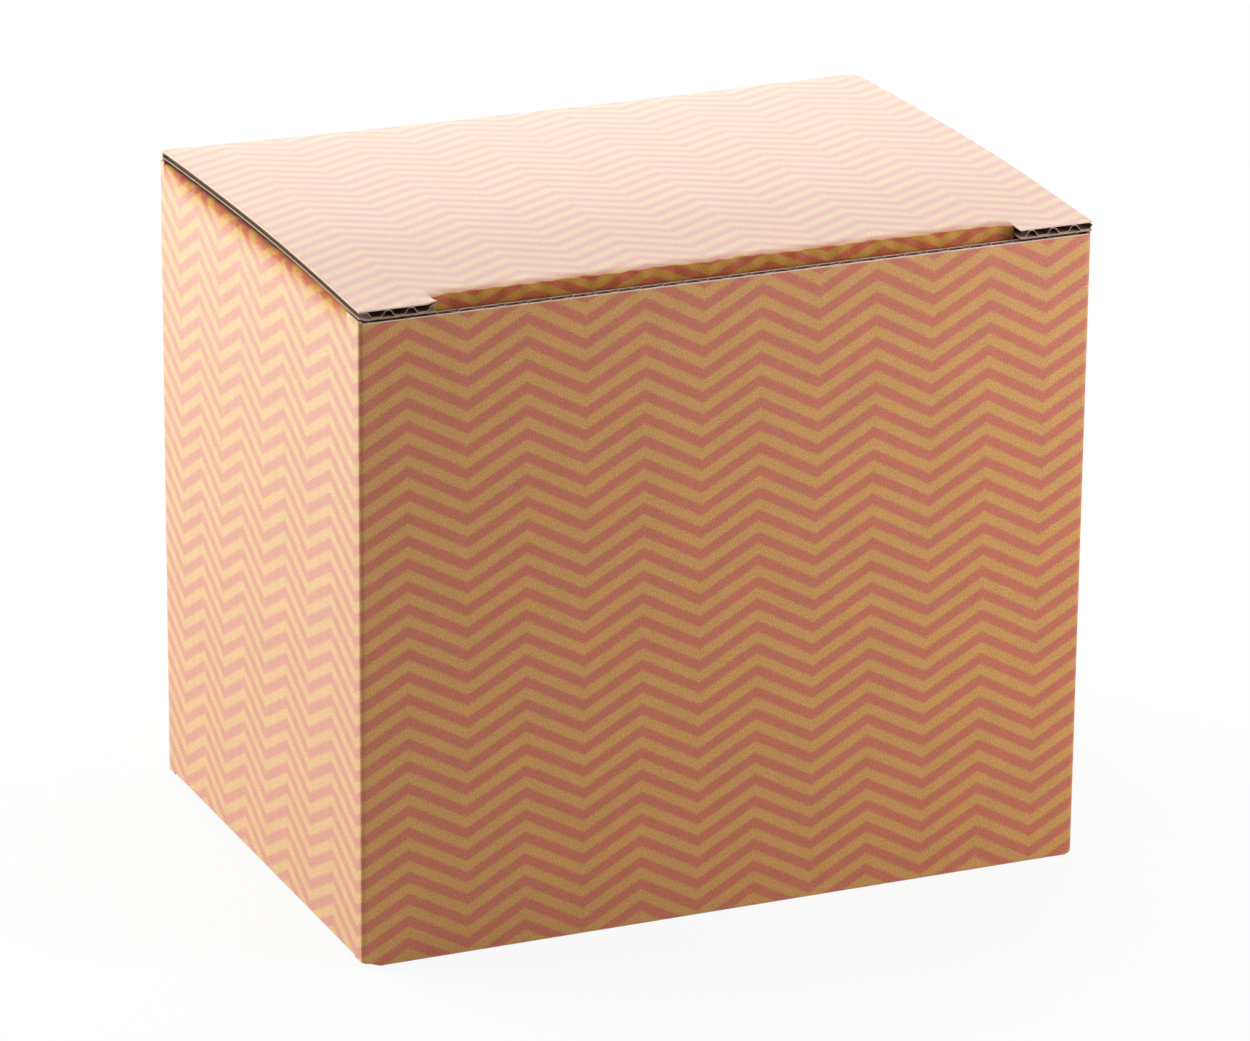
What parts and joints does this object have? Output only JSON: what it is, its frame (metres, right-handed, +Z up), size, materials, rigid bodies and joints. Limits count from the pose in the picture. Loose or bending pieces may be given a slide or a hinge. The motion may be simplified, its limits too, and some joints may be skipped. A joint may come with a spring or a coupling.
{
  "type": "mug box",
  "caption": "Corrugated mug carton with a tuck-in lid, dust flaps under it, and folding bottom flaps that lock with a tongue in a slot.",
  "frame": {"origin": "middle of the base, on the surface that the closed carton stands on", "axes": "+Z up to the lid; +X to the right, along the longest side; +Y to the back wall, where the lid is hinged, so the tuck opens at the front, towards -Y"},
  "size_m": [0.118, 0.0848, 0.1042],
  "materials": {
    "printed_liner": "uncoated kraft liner, printed all over with a two-colour zigzag, matte",
    "fluting": "brown fluted paper, matte",
    "plain_liner": "plain kraft liner, matte"
  },
  "bodies": {
    "sleeve": {"front_wall_outer_liner": "printed_liner", "front_wall_fluting": "fluting", "front_wall_inner_liner": "plain_liner", "back_wall_outer_liner": "printed_liner", "back_wall_fluting": "fluting", "back_wall_inner_liner": "plain_liner", "left_wall_outer_liner": "printed_liner", "left_wall_fluting": "fluting", "left_wall_inner_liner": "plain_liner", "right_wall_outer_liner": "printed_liner", "right_wall_fluting": "fluting", "right_wall_inner_liner": "plain_liner", "glue_flap_outer_liner": "printed_liner", "glue_flap_fluting": "fluting", "glue_flap_inner_liner": "plain_liner", "front_left_fold": "printed_liner", "front_right_fold": "printed_liner", "back_left_fold": "printed_liner", "glue_flap_fold": "printed_liner", "lid_fold": "printed_liner", "left_dust_fold": "printed_liner", "right_dust_fold": "printed_liner", "front_bottom_fold": "printed_liner", "back_bottom_fold": "printed_liner", "left_bottom_fold": "printed_liner", "right_bottom_fold": "printed_liner"},
    "lid": {"lid_outer_liner": "printed_liner", "lid_fluting": "fluting", "lid_inner_liner": "plain_liner", "tuck_fold": "printed_liner"},
    "tuck_flap": {"tuck_flap_outer_liner": "printed_liner", "tuck_flap_fluting": "fluting", "tuck_flap_inner_liner": "plain_liner"},
    "left_dust_flap": {"left_dust_flap_outer_liner": "printed_liner", "left_dust_flap_fluting": "fluting", "left_dust_flap_inner_liner": "plain_liner"},
    "right_dust_flap": {"right_dust_flap_outer_liner": "printed_liner", "right_dust_flap_fluting": "fluting", "right_dust_flap_inner_liner": "plain_liner"},
    "front_bottom_flap": {"front_bottom_flap_outer_liner": "printed_liner", "front_bottom_flap_fluting": "fluting", "front_bottom_flap_inner_liner": "plain_liner"},
    "back_bottom_flap": {"back_bottom_flap_outer_liner": "printed_liner", "back_bottom_flap_fluting": "fluting", "back_bottom_flap_inner_liner": "plain_liner"},
    "left_bottom_flap": {"left_bottom_flap_outer_liner": "printed_liner", "left_bottom_flap_fluting": "fluting", "left_bottom_flap_inner_liner": "plain_liner"},
    "right_bottom_flap": {"right_bottom_flap_outer_liner": "printed_liner", "right_bottom_flap_fluting": "fluting", "right_bottom_flap_inner_liner": "plain_liner"}
  },
  "joints": [
    {"name": "lid_hinge", "type": "hinge", "parent": "sleeve", "child": "lid", "pos_m": [0, 0.0424, 0.10275], "axis": [-1, 0, 0], "range_deg": [0, 225]},
    {"name": "tuck_hinge", "type": "hinge", "parent": "lid", "child": "tuck_flap", "pos_m": [0, -0.0405, 0.10275], "axis": [-1, 0, 0], "range_deg": [0, 90]},
    {"name": "left_dust_hinge", "type": "hinge", "parent": "sleeve", "child": "left_dust_flap", "pos_m": [-0.059, 0, 0.10085], "axis": [0, -1, 0], "range_deg": [0, 135]},
    {"name": "right_dust_hinge", "type": "hinge", "parent": "sleeve", "child": "right_dust_flap", "pos_m": [0.059, 0, 0.10085], "axis": [0, 1, 0], "range_deg": [0, 135]},
    {"name": "front_bottom_hinge", "type": "hinge", "parent": "sleeve", "child": "front_bottom_flap", "pos_m": [0, -0.0424, 0], "axis": [-1, 0, 0], "range_deg": [0, 100]},
    {"name": "back_bottom_hinge", "type": "hinge", "parent": "sleeve", "child": "back_bottom_flap", "pos_m": [0, 0.0424, 0], "axis": [1, 0, 0], "range_deg": [0, 100]},
    {"name": "left_bottom_hinge", "type": "hinge", "parent": "sleeve", "child": "left_bottom_flap", "pos_m": [-0.059, 0, 0.00085], "axis": [0, 1, 0], "range_deg": [0, 80]},
    {"name": "right_bottom_hinge", "type": "hinge", "parent": "sleeve", "child": "right_bottom_flap", "pos_m": [0.059, 0, 0.00085], "axis": [0, -1, 0], "range_deg": [0, 80]}
  ],
  "couplings": [
    {"joint": "tuck_hinge", "follows": "lid_hinge", "ratio": 0.4},
    {"joint": "left_dust_hinge", "follows": "lid_hinge", "ratio": 0.6},
    {"joint": "right_dust_hinge", "follows": "lid_hinge", "ratio": 0.6},
    {"joint": "back_bottom_hinge", "follows": "front_bottom_hinge", "ratio": 1},
    {"joint": "left_bottom_hinge", "follows": "front_bottom_hinge", "ratio": 0.8},
    {"joint": "right_bottom_hinge", "follows": "front_bottom_hinge", "ratio": 0.8}
  ]
}
